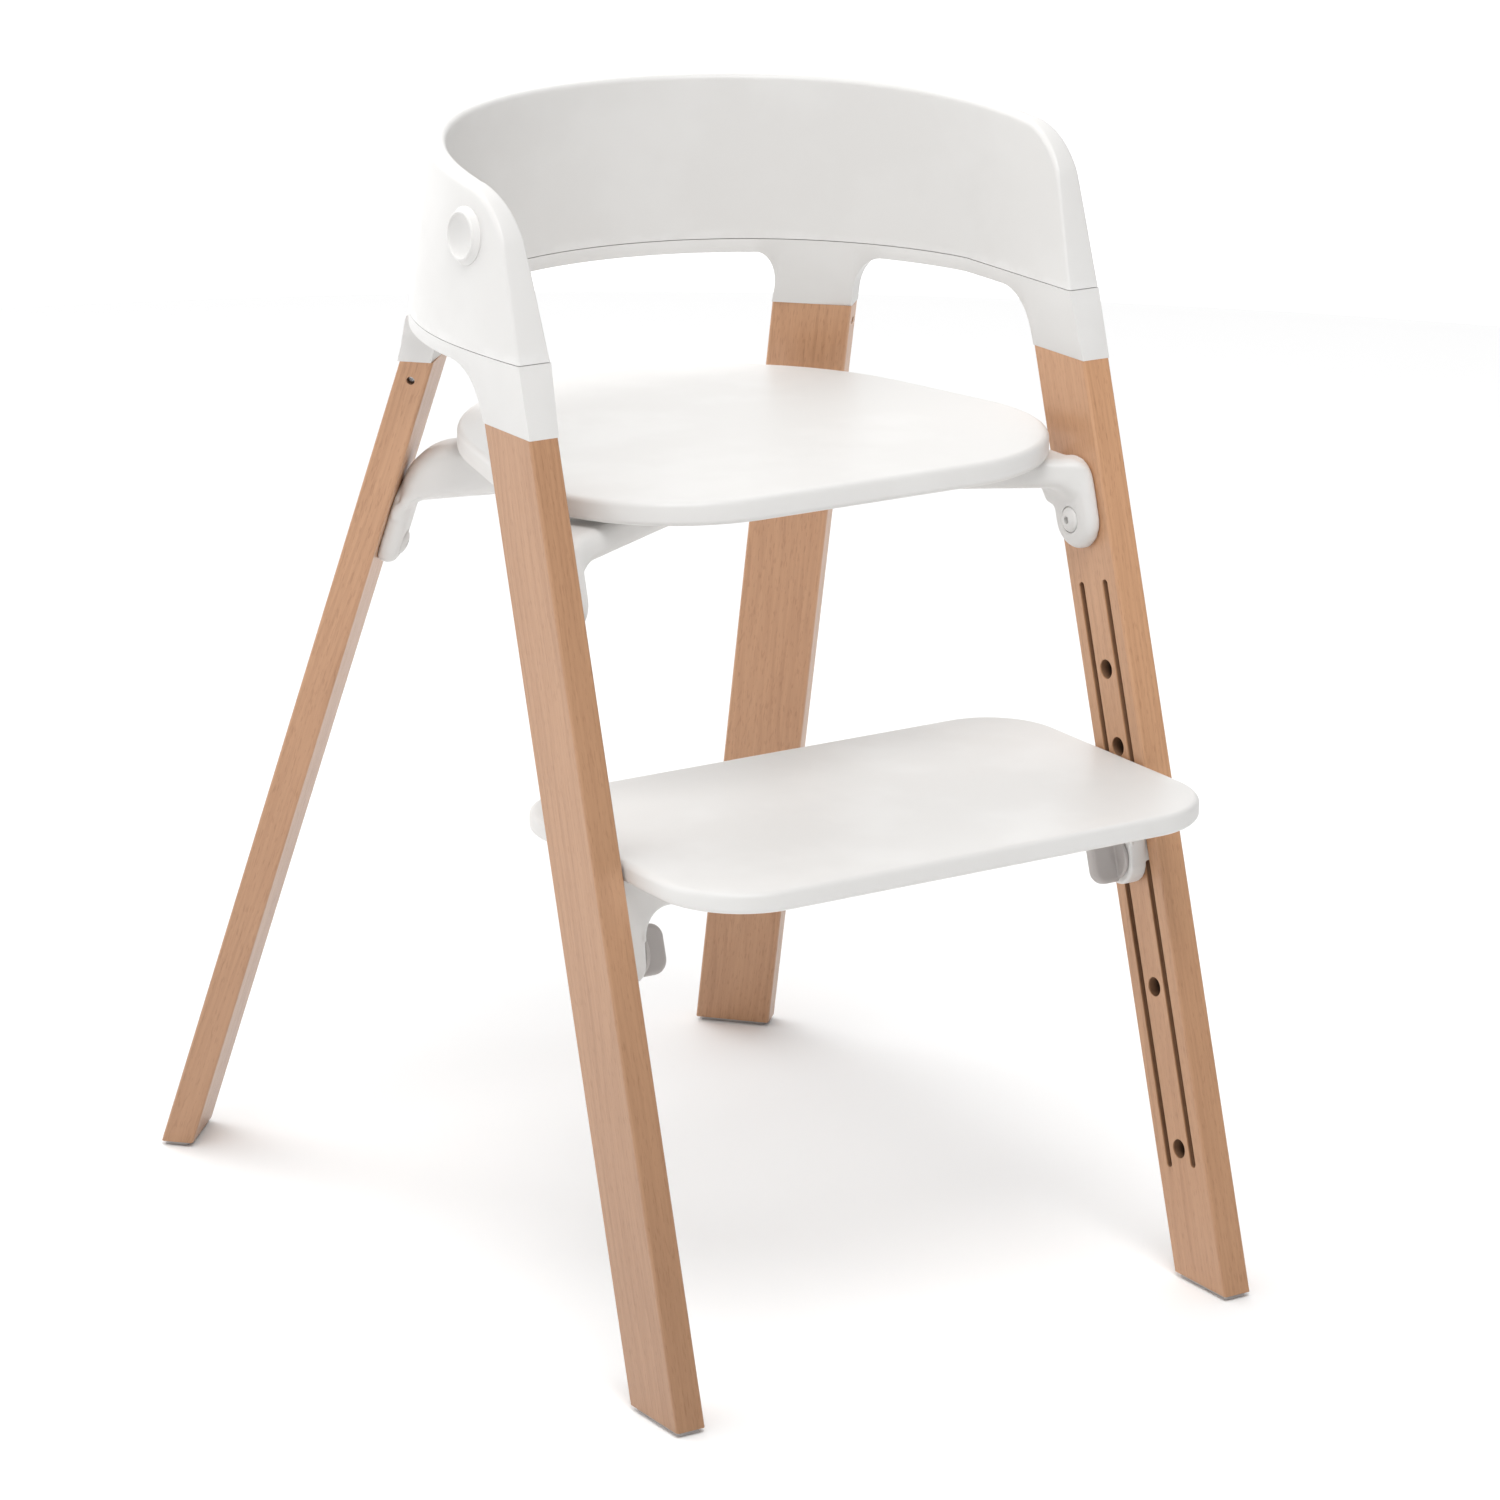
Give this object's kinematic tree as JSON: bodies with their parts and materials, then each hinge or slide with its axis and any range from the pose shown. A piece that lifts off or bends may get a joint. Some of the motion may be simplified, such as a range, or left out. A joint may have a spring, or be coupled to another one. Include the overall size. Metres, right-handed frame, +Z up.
{
  "type": "high chair",
  "caption": "High chair with a white hoop that is the back and the arms, splayed wooden legs, a round-backed seat and a sliding footrest locked by turn knobs.",
  "frame": {"origin": "middle of the chair's overall footprint, on the floor", "axes": "+Z up, the chair faces -Y, +X is to the right for someone looking at the chair's front"},
  "size_m": [0.4848, 0.6297, 0.7165],
  "materials": {
    "white_plastic": "satin moulded",
    "beech": "clear satin lacquer",
    "grey_plastic": "satin moulded",
    "steel": "zinc plated",
    "white_metal": "painted",
    "brass": "turned"
  },
  "bodies": {
    "frame": {"backrest_shell": "white_plastic", "upper_frame": "white_plastic", "front_leg_left": "beech", "front_leg_right": "beech", "rear_leg_left": "beech", "rear_leg_right": "beech", "leg_cross_screws": "steel", "shell_screws": "steel", "accessory_stud_left": "white_plastic", "accessory_stud_right": "white_plastic", "seat_plate": "white_plastic", "seat_bracket": "white_plastic", "seat_bracket_bolts": "white_metal", "leg_inserts": "brass", "seat_plate_screws": "steel", "glides": "grey_plastic", "glide_nails": "steel"},
    "footrest": {"footrest_plate": "white_plastic", "footrest_bracket_left": "white_plastic", "footrest_bracket_right": "white_plastic", "footrest_plate_screws": "steel"},
    "knob_left": {"lock_knob_left": "grey_plastic"},
    "knob_right": {"lock_knob_right": "grey_plastic"},
    "pin_left": {"lock_pin_left": "steel"},
    "pin_right": {"lock_pin_right": "steel"}
  },
  "joints": [
    {"name": "footrest_slide", "type": "slide", "parent": "frame", "child": "footrest", "axis": [0, 0.2907, 0.9568], "range_m": [-0.188, 0.116]},
    {"name": "knob_left_turn", "type": "hinge", "parent": "footrest", "child": "knob_left", "pos_m": [-0.17714, -0.20802, 0.26541], "axis": [-1, 0, 0.0044], "range_deg": [0, 90]},
    {"name": "knob_right_turn", "type": "hinge", "parent": "footrest", "child": "knob_right", "pos_m": [0.17714, -0.20802, 0.26541], "axis": [1, 0, 0.0044], "range_deg": [0, 90]},
    {"name": "pin_left_slide", "type": "slide", "parent": "footrest", "child": "pin_left", "axis": [-1, 0, 0.0044], "range_m": [0, 0.008]},
    {"name": "pin_right_slide", "type": "slide", "parent": "footrest", "child": "pin_right", "axis": [1, 0, 0.0044], "range_m": [0, 0.008]}
  ],
  "couplings": [
    {"joint": "knob_left_turn", "follows": "pin_left_slide", "rad_per_m": 196.3},
    {"joint": "knob_right_turn", "follows": "pin_right_slide", "rad_per_m": 196.3}
  ]
}
